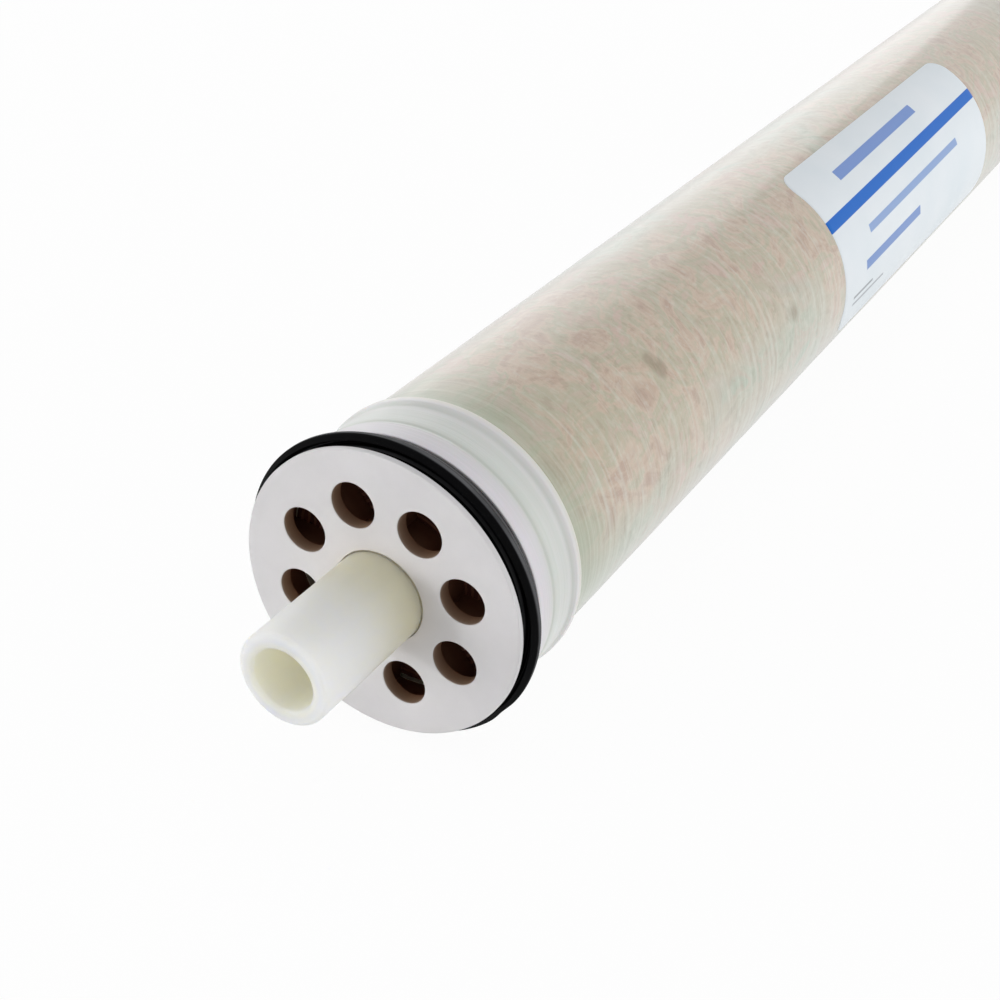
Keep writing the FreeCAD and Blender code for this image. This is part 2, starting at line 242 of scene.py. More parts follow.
def cap_plastic():
    """White moulded plastic: faint flow marks and scuffs."""
    s = Shader("cap_plastic")
    cloud = s.noise(90, detail=4)
    tone = s.ramp(cloud, [(0.3, srgb(216, 214, 215)), (0.7, srgb(224, 222, 223))])
    grain = s.noise(2600, detail=2)
    scuff = s.noise(60, s.place((1, 1, 9), turn=(0.3, 0.2, 0.5)), detail=5, distortion=0.6)
    rough = s.ramp(scuff, [(0.35, 0.42), (0.65, 0.54)])
    normal = s.bump(grain, 0.00002, 0.35)
    normal = s.bump(cloud, 0.0003, 0.2, normal)
    return s.finish(
        Base_Color=tone, Roughness=rough, Normal=normal, IOR=1.46,
        Subsurface_Weight=0.08, Subsurface_Radius=(0.9, 0.85, 0.8), Subsurface_Scale=0.001,
    )


def depth_in_cap(s):
    """Millimetres behind the nearer cap's face."""
    along = s.split(s.coords.outputs["Object"])[1]
    return s.math("MULTIPLY", s.math("SUBTRACT", -FACE, s.math("ABSOLUTE", along)), 1000.0)


def cap_inside():
    """Walls of the flow holes and of the space behind the plate, darker and browner with depth: painted
    shade and painted brown bounce light.
    """
    s = Shader("cap_inside")
    blotch = s.noise(300, detail=3)
    # Darker and browner deeper in: painted shade and painted brown bounce light.
    depth = s.math("MULTIPLY_ADD", blotch, 0.8, depth_in_cap(s))
    tone = s.ramp(s.math("DIVIDE", depth, 10.0), [
        (0.04, srgb(178, 160, 146)), (0.12, srgb(150, 124, 104)),
        (0.34, srgb(134, 100, 78)), (0.80, srgb(112, 74, 56)),
    ])
    return s.finish(Base_Color=tone, Roughness=0.5, IOR=1.46)


def band_plastic():
    """The cap's outer band, under a thin skin of resin: pale hoops, one of them scribed; darker tones in
    the scribe and at the foot of the lip are painted shade, the light tone at the lip's edge a painted
    highlight.
    """
    s = Shader("band_plastic")
    depth = depth_in_cap(s)
    hoop = s.noise(55, s.place((0.35, 14, 0.35)), detail=5, roughness=0.6, distortion=0.4)
    patch = s.noise(38, detail=3, distortion=0.5)
    wave = s.math("MULTIPLY_ADD", patch, 1.4, s.math("SUBTRACT", depth, 0.7))
    # Darker stops at the scribe and at the lip's foot are painted shade; the light stop at the lip's edge
    # is a painted highlight.
    tone = s.ramp(s.math("DIVIDE", wave, 25.0), [
        (0.36, srgb(226, 221, 227)), (0.50, srgb(224, 220, 224)),
        (0.556, srgb(202, 205, 198)), (0.62, srgb(217, 220, 215)),
        (0.80, srgb(219, 219, 217)), (0.85, srgb(211, 212, 208)),
        (0.90, srgb(226, 223, 224)), (0.965, srgb(232, 228, 218)),
    ])
    streak = s.ramp(hoop, [(0.40, 0.0), (0.66, 1.0)])
    tone = s.mix(s.math("MULTIPLY", streak, 0.30), tone, srgb(196, 204, 192))
    normal = s.bump(hoop, 0.0003, 0.3)
    normal = s.bump(s.noise(420, detail=3), 0.0001, 0.2, normal)
    rough = s.ramp(s.noise(130, detail=3), [(0.3, 0.32), (0.7, 0.44)])
    return s.finish(
        Base_Color=tone, Roughness=rough, Normal=normal, IOR=1.5, Coat_Weight=0.4,
        Coat_Roughness=0.2, Subsurface_Weight=0.08, Subsurface_Scale=0.001,
    )


def tube_plastic():
    """Cream plastic that lets light through; the near-white yellow of its bore is a painted glow for
    light that comes through the wall.
    """
    s = Shader("tube_plastic")
    place = s.split(s.coords.outputs["Object"])
    squares = s.math("ADD", s.math("POWER", place[0], 2.0), s.math("POWER", place[2], 2.0))
    radius = s.math("SQRT", squares)
    inside = s.step(radius, 0.0082, 0.0066)
    along = s.noise(70, s.place((1, 0.12, 1)), detail=4)
    tone = s.ramp(along, [(0.3, srgb(241, 238, 230)), (0.7, srgb(246, 244, 238))])
    root = s.step(place[1], FACE - 0.024, FACE + 0.001)
    tone = s.mix(s.math("MULTIPLY", root, 0.9), tone, srgb(236, 220, 180))
    # Near-white yellow in the bore: painted glow for light through the wall.
    tone = s.mix(inside, tone, srgb(254, 249, 226))
    rub = s.noise(900, s.place((1, 0.06, 1)), detail=3)
    normal = s.bump(rub, 0.00005, 0.35)
    rough = s.ramp(s.noise(160, detail=3), [(0.3, 0.36), (0.7, 0.48)])
    return s.finish(
        Base_Color=tone, Roughness=rough, Normal=normal, IOR=1.48,
        Subsurface_Weight=1.0, Subsurface_Radius=(1.0, 0.9, 0.62), Subsurface_Scale=0.014,
    )


def seal_rubber():
    """Black rubber, dull in front, with a painted grey highlight along the crest, and shinier behind it.
    """
    s = Shader("seal_rubber")
    depth = depth_in_cap(s)
    dust = s.noise(240, detail=5, roughness=0.65)
    tone = s.ramp(dust, [(0.35, srgb(4, 4, 5)), (0.75, srgb(10, 10, 11))])
    # Grey band along the crest: a painted highlight.
    painted_crest_highlight = s.math("MULTIPLY", s.step(depth, 3.4, 3.8), s.step(depth, 4.9, 4.2))
    painted_crest_highlight = s.math("MULTIPLY", painted_crest_highlight, s.ramp(s.noise(70, detail=3), [(0.35, 0.45), (0.6, 1.0)]))
    tone = s.mix(painted_crest_highlight, tone, srgb(96, 96, 98))
    behind = s.step(depth, 4.6, 5.6)
    dull = s.ramp(dust, [(0.3, 0.55), (0.7, 0.68)])
    rough = s.math("SUBTRACT", dull, s.math("MULTIPLY", behind, 0.3))
    normal = s.bump(s.noise(1500, detail=3), 0.00004, 0.5)
    return s.finish(
        Base_Color=tone, Roughness=rough, Normal=normal, IOR=1.5, Specular_IOR_Level=0.05,
    )


HOOP_PITCH = 0.0023
LAY_PITCH = 0.0024
LAY_COUNT = 60

# Each stain: millimetres behind the face, degrees from +X towards +Z, reach in mm, strength.
STAINS = ((75.2, 49.0, 3.0, 0.55), (76.6, 43.8, 3.2, 0.6), (139.9, 19.4, 3.2, 0.5))


def glass_fibre():
    """Resin over a glass winding: hoop lines, a diamond lay and the brown leaves below."""
    s = Shader("glass_fibre")
    objects = s.coords.outputs["Object"]
    along = s.split(objects)[1]
    wind = s.split(s.coords.outputs["UV"])

    # Hoop lines of the outer winding, a little off square and out of true.
    stray = s.noise(16, detail=2)
    shifted = s.math("MULTIPLY_ADD", stray, 0.010, along)
    hoop_place = s.math("MULTIPLY_ADD", wind[0], 2 * HOOP_PITCH, shifted)
    hoop = s.math("SINE", s.math("MULTIPLY", hoop_place, 2 * math.pi / HOOP_PITCH))
    hoop = s.math("MULTIPLY_ADD", hoop, 0.5, 0.5)
    hoop = s.math("MULTIPLY", hoop, s.step(s.noise(45, detail=2), 0.3, 0.65))

    # Diamond lay of the cloth under it.
    rise = s.math("MULTIPLY", shifted, 2 * math.pi / LAY_PITCH)
    around = s.math("MULTIPLY", wind[0], 2 * math.pi * LAY_COUNT)
    left = s.math("SINE", s.math("ADD", rise, around))
    right = s.math("SINE", s.math("SUBTRACT", rise, around))
    lay = s.math("MULTIPLY_ADD", s.math("MULTIPLY", left, right), 0.5, 0.5)

    # Blotches, from hand-sized down to threads.
    large = s.noise(20, s.place((1, 0.8, 1)), detail=3, distortion=0.6)
    turned = s.place((1, 0.75, 1), turn=(0.5, 0.2, 0.3))
    medium = s.noise(110, turned, detail=5, roughness=0.6, distortion=0.8)
    small = s.noise(330, s.place((1, 1.5, 1)), detail=4, roughness=0.6)
    streak = s.noise(30, s.place((0.3, 18, 0.3)), detail=5, roughness=0.65, distortion=0.5)

    # Brown shows through most along one side, green-grey on the other.
    side = s.math("COSINE", s.math("MULTIPLY_ADD", wind[0], 2 * math.pi, -math.radians(75)))
    brown = s.math("MULTIPLY_ADD", side, 0.09, large)
    tan = s.ramp(medium, [
        (0.36, srgb(184, 156, 136)), (0.46, srgb(202, 180, 158)),
        (0.54, srgb(182, 176, 150)), (0.64, srgb(202, 176, 160)),
    ])
    green = s.ramp(medium, [
        (0.36, srgb(156, 164, 140)), (0.47, srgb(182, 186, 166)),
        (0.55, srgb(190, 178, 160)), (0.65, srgb(170, 182, 162)),
    ])
    tone = s.mix(s.step(brown, 0.44, 0.60), green, tan)
    tone = s.mix(s.math("MULTIPLY", s.step(small, 0.52, 0.66), 0.35), tone, srgb(158, 138, 116))
    tone = s.mix(s.math("MULTIPLY", s.step(small, 0.46, 0.34), 0.30), tone, srgb(210, 208, 194))
    tone = s.mix(s.math("MULTIPLY", s.step(streak, 0.50, 0.70), 0.12), tone, srgb(214, 216, 206))
    tone = s.mix(s.math("MULTIPLY", hoop, 0.05), tone, srgb(222, 222, 212))
    tone = s.mix(s.math("MULTIPLY", lay, 0.07), tone, srgb(160, 146, 126))

    # Pale hoops round the lower side, which faces the floor: painted reflection of the white floor,
    # broken up by the streak noise.
    under = s.math("COSINE", s.math("MULTIPLY_ADD", wind[0], 2 * math.pi, math.radians(40)))
    painted_floor_reflection = s.step(s.math("MULTIPLY_ADD", under, 0.14, streak), 0.50, 0.72)
    tone = s.mix(s.math("MULTIPLY", painted_floor_reflection, 0.25), tone, srgb(214, 219, 206))

    # The ends lie over the caps' tails and look green.
    depth = depth_in_cap(s)
    ragged = s.math("MULTIPLY_ADD", s.math("SUBTRACT", large, 0.5), 40.0, depth)
    over_cap = s.step(ragged, 50.0, 25.0)
    olive = s.ramp(streak, [(0.38, srgb(146, 157, 130)), (0.62, srgb(176, 186, 164))])
    tone = s.mix(s.math("MULTIPLY", over_cap, 0.85), tone, olive)
    # Darker band just behind the lip's edge: painted shadow of the lip.
    edge = s.step(s.math("MULTIPLY_ADD", small, 2.0, depth), 27.0, 25.0)
    tone = s.mix(s.math("MULTIPLY", edge, 0.55), tone, srgb(128, 140, 108))

    # Brown stains.
    for station, angle, reach, strength in STAINS:
        turn = math.radians(angle)
        spot = Vector((math.cos(turn) * SHELL_RADIUS, FACE + station * MM, math.sin(turn) * SHELL_RADIUS))
        away = s.node("VectorMath", {0: objects, 1: spot}, operation="DISTANCE").outputs["Value"]
        away = s.math("MULTIPLY_ADD", s.math("SUBTRACT", small, 0.5), 0.004, away)
        stain = s.step(away, reach * MM, 0.0008)
        tone = s.mix(s.math("MULTIPLY", stain, strength), tone, srgb(132, 112, 84))

    # Relief: hoop lines first, threads and cloth under a skin of resin.
    normal = s.bump(hoop, 0.00010, 0.15)
    normal = s.bump(lay, 0.00006, 0.3, normal)
    normal = s.bump(streak, 0.0004, 0.2, normal)
    normal = s.bump(medium, 0.0008, 0.35, normal)
    normal = s.bump(s.noise(1200, detail=2), 0.00005, 0.3, normal)
    rough = s.ramp(medium, [(0.3, 0.42), (0.7, 0.56)])
    return s.finish(
        Base_Color=tone, Roughness=rough, Normal=normal, IOR=1.5, Coat_Weight=1.0,
        Coat_Roughness=0.2, Coat_IOR=1.6, Sheen_Weight=0.5, Sheen_Roughness=0.3,
    )


BLUE = srgb(18, 106, 200)

# Each bar: start and end in mm behind the face, middle and half width in degrees round the
# film, colour, strength and degrees of rise per mm.
LABEL_BARS = (
    (170, 310, 39.0, 3.3, BLUE, 1.0, 0.0277),
    (196, 262, 57.0, 3.2, BLUE, 0.75, 0.0277),
    (196, 276, 24.0, 2.2, srgb(96, 140, 205), 0.75, 0.0277),
    (190, 236, 8.0, 2.6, srgb(72, 122, 198), 0.8, 0.0277),
    (181, 196, -4.0, 0.8, srgb(120, 124, 130), 0.7, 0.0),
    (181, 206, -8.0, 0.8, srgb(150, 154, 160), 0.7, 0.0),
)


def label_film():
    """Pale film with a blue stripe; plain bars stand where print would be."""
    s = Shader("label_film")
    place = s.split(s.coords.outputs["Object"])
    angle = s.math("MULTIPLY", s.math("ARCTAN2", place[2], place[0]), 180 / math.pi)
    along = s.math("MULTIPLY", s.math("SUBTRACT", place[1], FACE), 1000.0)
    creep = s.noise(40, detail=3)
    tone = s.ramp(creep, [(0.3, srgb(226, 234, 239)), (0.7, srgb(234, 239, 243))])
    for start, end, middle, half, colour, strength, rise in LABEL_BARS:
        centre = s.math("MULTIPLY_ADD", s.math("SUBTRACT", along, start), rise, middle)
        off = s.math("ABSOLUTE", s.math("SUBTRACT", angle, centre))
        inside = s.step(off, half + 0.15, half - 0.15)
        inside = s.math("MULTIPLY", inside, s.step(along, start - 0.1, start + 0.1))
        inside = s.math("MULTIPLY", inside, s.step(along, end + 0.1, end - 0.1))
        tone = s.mix(s.math("MULTIPLY", inside, strength), tone, colour)
    normal = s.bump(s.noise(90, s.place((1, 0.4, 1)), detail=3), 0.0008, 0.25)
    return s.finish(
        Base_Color=tone, Roughness=0.42, Normal=normal, IOR=1.5, Specular_IOR_Level=0.25,
    )


def leaf_sheet(name, first, second):
    """Brown sheet of the wound package; its cut ends show in the flow holes."""
    s = Shader(name)
    thread = s.noise(900, detail=3)
    tone = s.ramp(thread, [(0.3, first), (0.7, second)])
    normal = s.bump(thread, 0.0002, 0.6)
    return s.finish(Base_Color=tone, Roughness=0.7, Normal=normal)


MATERIALS = {
    "cap": cap_plastic(),
    "band": band_plastic(),
    "inside": cap_inside(),
    "tube": tube_plastic(),
    "seal": seal_rubber(),
    "shell": glass_fibre(),
    "label": label_film(),
    "membrane": leaf_sheet("membrane_sheet", srgb(128, 74, 56), srgb(146, 94, 70)),
    "spacer": leaf_sheet("spacer_net", srgb(88, 44, 34), srgb(112, 60, 44)),
    "tape": leaf_sheet("tape_film", srgb(196, 186, 166), srgb(210, 202, 184)),
}


# ---------------------------------------------------------------- end caps

# Radii and stations behind the face, in millimetres.
CORE = 9.75
HUB = 12.85
SKIRT_BORE = 26.6
GROOVE_RADIUS = 27.5
TAIL_RADIUS = 28.3
SCRIBE_RADIUS = 29.7
BAND_RADIUS = 29.8
LIP_RADIUS = 30.36
RIM_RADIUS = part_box("feed_end_cap")[1].x / MM
RIM_BACK = 1.3
PLATE = 3.0
BAND_START = 8.6
HUB_BACK = 10.0
SCRIBE = 13.9
SCRIBE_HALF = 0.6
BAND_END = 20.9
LIP_START = 22.4
LIP_END = 24.3
TAIL_END = (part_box("feed_end_cap")[1].y - FACE) / MM

HOLES = 8
HOLE_PHASE = 15.0
HOLE_RADIUS = 4.75
HOLE_CIRCLE = 19.0
HOLE_LIP = 0.22
HOLE_SIDES = 64
RIB_THICKNESS = 1.6
RIB_PHASE = HOLE_PHASE + 180.0 / HOLES
CAP_SIDES = 240

# The numbers of the cap's three materials.
ON_CAP = 0
ON_BAND = 1
INSIDE = 2


def cap_outline():
    """Section of the moulding, from the bore's front corner outwards and back."""
    return rounded([
        (CORE, 0, 0.15),
        (RIM_RADIUS, 0, 0.25),
        (RIM_RADIUS, RIM_BACK, 0.15),
        (GROOVE_RADIUS, RIM_BACK, 0.1),
        (GROOVE_RADIUS, BAND_START, 0.1),
        (BAND_RADIUS, BAND_START, 0.25),
        (BAND_RADIUS, SCRIBE - SCRIBE_HALF, 0.3),
        (SCRIBE_RADIUS, SCRIBE, 0.3),
        (BAND_RADIUS, SCRIBE + SCRIBE_HALF, 0.3),
        (BAND_RADIUS, BAND_END, 1.5),
        (LIP_RADIUS, LIP_START, 1.2),
        (LIP_RADIUS, LIP_END, 0.45),
        (TAIL_RADIUS, LIP_END, 0.1),
        (TAIL_RADIUS, TAIL_END, 0.2),
        (SKIRT_BORE, TAIL_END, 0.2),
        (SKIRT_BORE, PLATE, 0.3),
        (HUB, PLATE, 0.3),
        (HUB, HUB_BACK, 0.25),
        (CORE, HUB_BACK, 0.1),
    ])


def mean(loop):
    middle = sum((vert.co.xz for vert in loop), Vector((0, 0))) / len(loop)
    return middle.x, middle.y


def plate_face(work, outer, inner, holes):
    """Flat plate face between rings, with the flow holes left open."""
    loops = [outer, inner] + holes
    verts = [vert for loop in loops for vert in loop]
    flat = [Vector((vert.co.x, vert.co.z)) for vert in verts]
    edges = []
    start = 0
    for loop in loops:
        count = len(loop)
        edges += [(start + n, start + (n + 1) % count) for n in range(count)]
        start += count
    points, _, triangles, origins, _, _ = delaunay_2d_cdt(flat, edges, [], 0, 1e-9)
    index = [origin[0] for origin in origins]
    gaps = [(0.0, 0.0, inner[0].co.xz.length)]
    gaps += [(*mean(loop), (loop[0].co.xz - Vector(mean(loop))).length) for loop in holes]
    limit = outer[0].co.xz.length
    for triangle in triangles:
        centre = sum((points[n] for n in triangle), Vector((0, 0))) / 3
        if centre.length > limit:
            continue
        if any((centre - Vector((x, y))).length < r * 0.9999 for x, y, r in gaps):
            continue
        work.faces.new([verts[index[n]] for n in triangle])


def flow_hole(work, number):
    """Wall of one flow hole with a rounded mouth; gives its front and back rings."""
    angle = math.radians(HOLE_PHASE + 360.0 / HOLES * number)
    centre = Vector((HOLE_CIRCLE * math.cos(angle), HOLE_CIRCLE * math.sin(angle))) * MM
    wall = []
    for step in range(5):
        quarter = math.pi / 2 * step / 4
        flare = HOLE_LIP * (1 - math.sin(quarter))
        wall.append((HOLE_RADIUS + flare, HOLE_LIP * (1 - math.cos(quarter))))
    wall.append((HOLE_RADIUS, PLATE))
    rings = []
    for radius, station in wall:
        made = []
        for part in range(HOLE_SIDES):
            turn = 2 * math.pi * part / HOLE_SIDES
            x = centre.x + radius * MM * math.cos(turn)
            z = centre.y + radius * MM * math.sin(turn)
            made.append(work.verts.new((x, station * MM, z)))
        rings.append(made)
    for first, second in zip(rings, rings[1:]):
        join_rings(work, first, second)
    return rings[0], rings[-1]


def rib(work, number):
    """Rib between hub and skirt, sunk a little into both and into the plate."""
    angle = math.radians(RIB_PHASE + 360.0 / HOLES * number)
    made = bmesh.ops.create_cube(work, size=1.0)["verts"]
    for face in {face for vert in made for face in vert.link_faces}:
        face.material_index = INSIDE
    sunk = 0.25
    length = SKIRT_BORE - HUB + 2 * sunk
    c = math.cos(angle)
    q = math.sin(angle)
    for vert in made:
        x = (vert.co.x + 0.5) * length + HUB - sunk
        y = (vert.co.y + 0.5) * (HUB_BACK - PLATE) + PLATE - 0.05
        z = vert.co.z * RIB_THICKNESS
        vert.co = Vector((x * c - z * q, y, x * q + z * c)) * MM


def mark_materials(work):
    """Give the band and the inner walls materials of their own."""
    slack = 0.05
    for face in work.faces:
        middle = face.calc_center_median()
        radius = middle.xz.length / MM
        station = middle.y / MM
        if radius > TAIL_RADIUS + 0.3 and BAND_START - slack < station < LIP_END + slack:
            face.material_index = ON_BAND
        elif radius < SKIRT_BORE + 0.1 and station > 0.12:
            face.material_index = INSIDE
        else:
            face.material_index = ON_CAP


def end_cap(name, node, direction):
    """Cap as one closed moulding with rounded edges, a scribed band and eight flow holes."""
    work = bmesh.new()
    outline = cap_outline()

    # The outline without its two plate faces: an outer chain and an inner one.
    halfway = 20.0
    flat = [abs(p.y) < 1e-6 for p in outline]
    back = [abs(p.y - PLATE) < 1e-6 for p in outline]
    count = len(outline)
    outer_start = max(n for n in range(count) if flat[n] and outline[n].x > halfway)
    outer_end = min(n for n in range(count) if back[n] and outline[n].x > halfway)
    inner_start = max(n for n in range(count) if back[n] and outline[n].x < halfway)
    outer_chain = outline[outer_start:outer_end + 1]
    inner_chain = outline[inner_start:] + [p for p in outline[:6] if p.x < halfway]
    outer = lathe(work, outer_chain, CAP_SIDES, closed=False)
    inner = lathe(work, inner_chain, CAP_SIDES // 2, closed=False)

    holes = [flow_hole(work, number) for number in range(HOLES)]
    plate_face(work, outer[0], inner[-1], [front for front, _ in holes])
    plate_face(work, outer[-1], inner[0], [rear for _, rear in holes])
    mark_materials(work)
    for number in range(HOLES):
        rib(work, number)

    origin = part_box(node)[0].y if direction > 0 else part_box(node)[1].y
    turn = Matrix.Identity(4) if direction > 0 else Matrix.Rotation(math.pi, 4, "Z")
    bmesh.ops.transform(work, matrix=Matrix.Translation((0, origin, 0)) @ turn, verts=work.verts)
    materials = [MATERIALS["cap"], MATERIALS["band"], MATERIALS["inside"]]
    return from_bmesh(name, work, materials, slot="cap_plastic", replaces=(node,))


end_cap("feed_cap_moulding", "feed_end_cap", 1)
end_cap("brine_cap_moulding", "brine_end_cap", -1)


# ---------------------------------------------------------------- permeate tube and seal

# Millimetres.
BORE_RADIUS = 6.35
END_RADIUS = 9.525
TUBE_RADIUS = 9.7

SEAL_BORE = GROOVE_RADIUS + 0.05
SEAL_WALL = 29.05
SEAL_MOUTH = 31.2
SEAL_RADIUS = 32.4
SEAL_HEEL = 29.5
SEAL_FRONT = 1.5
SEAL_MOUTH_FRONT = 2.5
SEAL_LAND = (3.4, 4.4)
SEAL_WEB = 6.4
SEAL_BACK = 8.4


def tube():
    """Permeate tube with rounded tips; its ends are turned down by a shallow shoulder."""
    work = bmesh.new()
    length = (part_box("permeate_tube")[1].y - TIP) / MM
    shoulder = (FACE - TIP) / MM
    outline = rounded([
        (BORE_RADIUS, 0, 0.7),
        (END_RADIUS, 0, 1.0),
        (END_RADIUS, shoulder, 0),
        (TUBE_RADIUS, shoulder, 0),
        (TUBE_RADIUS, length - shoulder, 0),
        (END_RADIUS, length - shoulder, 0),
        (END_RADIUS, length, 1.0),
        (BORE_RADIUS, length, 0.7),
    ], steps=7)
    lathe(work, outline, 128, origin=TIP)
    materials = [MATERIALS["tube"]]
    return from_bmesh(
        "permeate_tube_skin", work, materials, slot="tube_plastic", replaces=("permeate_tube",),
    )


def seal_wobble(radius, station, angle):
    """Rubber never sits quite true: a slow wave and one kink at the lower right."""
    free = max(0.0, min(1.0, (radius - 0.0295) / 0.0025))
    wave = 0.00012 * math.sin(2 * angle + 0.6) + 0.00007 * math.sin(5 * angle + 1.1)
    off = (math.degrees(angle) - 322 + 180) % 360 - 180
    kink = -0.00035 * math.exp(-(off / 5.0) ** 2)
    return radius + free * (wave + kink - 0.00015), station + free * (wave + kink * 1.2)


def seal():
    """Cup seal: a base in the groove and a lip that opens towards the feed."""
    work = bmesh.new()
    outline = rounded([
        (SEAL_BORE, SEAL_FRONT, 0.2),
        (SEAL_WALL, SEAL_FRONT, 0.4),
        (SEAL_WALL, SEAL_WEB, 0.3),
        (SEAL_MOUTH, SEAL_MOUTH_FRONT, 0.18),
        (SEAL_RADIUS, SEAL_LAND[0], 0.55),
        (SEAL_RADIUS, SEAL_LAND[1], 0.7),
        (SEAL_HEEL, SEAL_BACK, 0.35),
        (SEAL_BORE, SEAL_BACK, 0.2),
    ], steps=6)
    lathe(work, outline, 240, wobble=seal_wobble, origin=FACE)
    materials = [MATERIALS["seal"]]
    return from_bmesh(
        "brine_seal_ring", work, materials, sharp=50, slot="seal_rubber", replaces=("brine_seal",),
    )


tube()
seal()


# ---------------------------------------------------------------- wound shell


SLEEVE_BORE = TAIL_RADIUS * MM + 0.00005
SLEEVE_SIDES = 112
SLEEVE_STATIONS = 768


def sleeve_depth(x, y, z, angle):
    """How far the winding's surface lies below the shell's radius."""
    stray = 0.004 * noise(Vector((0.0, y * 16, 3.7)))
    swell = noise(Vector((0.0, y * 60, 9.1)))
    broad = 0.5 + 0.5 * noise(Vector((x * 1.7, y * 55, z * 1.7)))
    phase = 2 * math.pi * ((y + stray) / HOOP_PITCH) + angle * 2
    ridge = 0.5 - 0.5 * math.cos(phase)
    return 0.00002 + 0.00010 * broad + 0.000014 * ridge * max(0.0, broad + swell)


def unroll(mesh):
    """UV of turns round and metres along, with no face that crosses the start of a turn."""
    wind = mesh.uv_layers.new(name="wind")
    for polygon in mesh.polygons:
        turns = []
        for loop in polygon.loop_indices:
            x, y, z = mesh.vertices[mesh.loops[loop].vertex_index].co
            turns.append(math.atan2(z, x) / (2 * math.pi) % 1.0)
        if max(turns) - min(turns) > 0.5:
            turns = [turn + 1.0 if turn < 0.5 else turn for turn in turns]
        for loop, turn in zip(polygon.loop_indices, turns):
            y = mesh.vertices[mesh.loops[loop].vertex_index].co.y
            wind.data[loop].uv = (turn, y)


def shell():
    """Winding as a closed sleeve: fine helical ridges over a slightly uneven lay-up."""
    around = SLEEVE_SIDES
    stations = SLEEVE_STATIONS
    angles = 2 * math.pi * np.arange(around) / around
    verts = []
    for y in np.linspace(SHELL_START, SHELL_END, stations):
        for angle in angles:
            x = math.cos(angle)
            z = math.sin(angle)
            radius = SHELL_RADIUS - sleeve_depth(x, y, z, angle)
            verts.append((radius * x, y, radius * z))
    for y in (SHELL_START, SHELL_END):
        for angle in angles:
            verts.append((SLEEVE_BORE * math.cos(angle), y, SLEEVE_BORE * math.sin(angle)))
    faces = []
    for row in range(stations - 1):
        for col in range(around):
            after = (col + 1) % around
            a, b = row * around, (row + 1) * around
            faces.append((a + col, b + col, b + after, a + after))
    near, far = stations * around, (stations + 1) * around
    last = (stations - 1) * around
    for col in range(around):
        after = (col + 1) % around
        faces.append((near + col, col, after, near + after))
        faces.append((last + col, far + col, far + after, last + after))
        faces.append((far + col, near + col, near + after, far + after))
    mesh = bpy.data.meshes.new("wound_shell")
    mesh.from_pydata(verts, [], faces)
    unroll(mesh)
    mesh.shade_smooth()
    mesh.set_sharp_from_angle(angle=math.radians(50))
    mesh.materials.append(MATERIALS["shell"])
    return new_object("wound_shell", mesh, slot="glass_fibre", replaces=("glass_fibre_shell",))


shell()


# ---------------------------------------------------------------- label

LABEL_LOW, LABEL_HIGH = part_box("label_film")
LABEL_RADIUS = LABEL_HIGH.x
LABEL_CORNER = 0.006
LABEL_TUCK = 0.00030


def label_loop(first, last, margin):
    """Rounded outline of the unrolled film, a margin inside its edge, in short steps."""
    corners = [
        (first + margin, LABEL_LOW.y + margin),
        (last - margin, LABEL_LOW.y + margin),
        (last - margin, LABEL_HIGH.y - margin),
        (first + margin, LABEL_HIGH.y - margin),
    ]
    points = rounded([(x, y, LABEL_CORNER - margin) for x, y in corners], steps=8)
    dense = []
    for number, point in enumerate(points):
        after = points[(number + 1) % len(points)]
        parts = max(1, round((after - point).length / (2.5 * MM)))
        dense += [point.lerp(after, part / parts) for part in range(parts)]
    return dense


def wrap(work, point, depth):
    """Vertex of the film at an unrolled point, a depth below the label's radius."""
    angle = point.x / LABEL_RADIUS
    r = LABEL_RADIUS - depth
    return work.verts.new((r * math.cos(angle), point.y, r * math.sin(angle)))


def clear_of(point, loop):
    return min((point - other).length for other in loop) > 1.2 * MM


def crease(point):
    return 0.00003 + 0.00003 * noise(Vector((point.x * 60, point.y * 25, 1.3)))


def tuck(point):
    return LABEL_TUCK


def sheet(work, loop, grid, depth):
    """One face of the film inside a loop; gives the loop's vertices in order."""
    flat = loop + [point for point in grid if clear_of(point, loop)]
    edges = [(n, (n + 1) % len(loop)) for n in range(len(loop))]
    points, _, triangles, origins, _, _ = delaunay_2d_cdt(flat, edges, [], 1, 1e-9)
    verts = [wrap(work, point, depth(point)) for point in points]
    for triangle in triangles:
        work.faces.new([verts[n] for n in triangle])
    order = {origin[0]: n for n, origin in enumerate(origins) if origin}
    return [verts[order[n]] for n in range(len(loop))]


def zip_loops(first, second):
    """Triangles that close the gap between two loops of unlike counts."""
    faces = []
    a = 0
    b = 0
    na = len(first)
    nb = len(second)
    while a < na or b < nb:
        if b >= nb or (a < na and (a + 1) / na <= (b + 1) / nb):
            faces.append((first[a % na], first[(a + 1) % na], second[b % nb]))
            a += 1
        else:
            faces.append((first[a % na], second[(b + 1) % nb], second[b % nb]))
            b += 1
    return faces


def label():
    """Film with round corners, pressed onto the winding, with its edges laid down."""
    first = math.asin(LABEL_LOW.z / LABEL_RADIUS) * LABEL_RADIUS
    last = math.asin(LABEL_HIGH.z / LABEL_RADIUS) * LABEL_RADIUS
    across = np.arange(first + 2 * MM, last - 1.9 * MM, 2.5 * MM)
    along = np.arange(LABEL_LOW.y + 2 * MM, LABEL_HIGH.y - 1.9 * MM, 5 * MM)
    grid = [Vector((x, y)) for x in across for y in along]
    work = bmesh.new()
    upper = sheet(work, label_loop(first, last, 0.25 * MM), grid, crease)
    lower = sheet(work, label_loop(first, last, 0.0), grid, tuck)
    for face in zip_loops(upper, lower):
        work.faces.new(face)
    return from_bmesh(
        "label_skin", work, [MATERIALS["label"]],
        sharp=60, slot="label_film", replaces=("label_film",),
    )


label()


# ---------------------------------------------------------------- carried-over nodes


